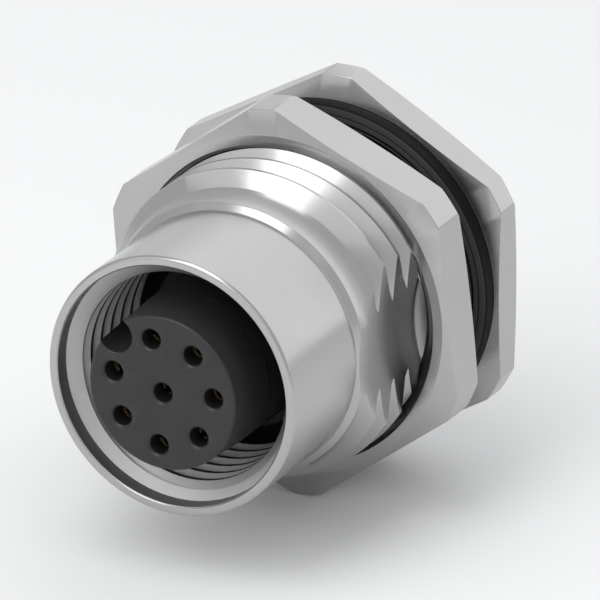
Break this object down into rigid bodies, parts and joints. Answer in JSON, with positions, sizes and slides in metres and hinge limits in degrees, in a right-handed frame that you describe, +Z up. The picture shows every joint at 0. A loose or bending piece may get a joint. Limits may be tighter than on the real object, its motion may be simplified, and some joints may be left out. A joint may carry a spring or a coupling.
{
  "type": "m12 panel connector",
  "caption": "Round female panel connector with a threaded mouth, gold sockets in a keyed insert, hexagon flange with gasket, and a nut that clamps it to a panel.",
  "frame": {"origin": "on the connector's axis, in the plane of the gasket's front face, where the panel's rear face rests", "axes": "-Y points out of the mouth, towards the mating plug; +Z is up; the flat on the mounting thread faces +X"},
  "size_m": [0.019, 0.0221, 0.02],
  "materials": {
    "nickel_plating": "satin nickel plating over turned brass",
    "gold_plating": "bright gold plating over turned brass",
    "grey_plastic": "dark grey moulded plastic, fine matt",
    "black_plastic": "black moulded plastic, fine matt",
    "black_rubber": "black moulded rubber, matt"
  },
  "bodies": {
    "connector": {"shell": "nickel_plating", "panel_gasket": "black_rubber", "front_insert": "grey_plastic", "contact_carrier": "black_plastic", "contact_holder": "black_plastic", "interface_seal": "black_rubber", "rear_insulator": "black_plastic", "retaining_ring": "nickel_plating", "contact_1": "gold_plating", "contact_2": "gold_plating", "contact_3": "gold_plating", "contact_4": "gold_plating", "contact_5": "gold_plating", "contact_6": "gold_plating", "contact_7": "gold_plating", "contact_8": "gold_plating"},
    "nut": {"panel_nut": "nickel_plating"}
  },
  "joints": [
    {"name": "nut_travel", "type": "slide", "parent": "connector", "child": "nut", "axis": [0, -1, 0], "range_m": [-0.0015, 0.02]}
  ]
}
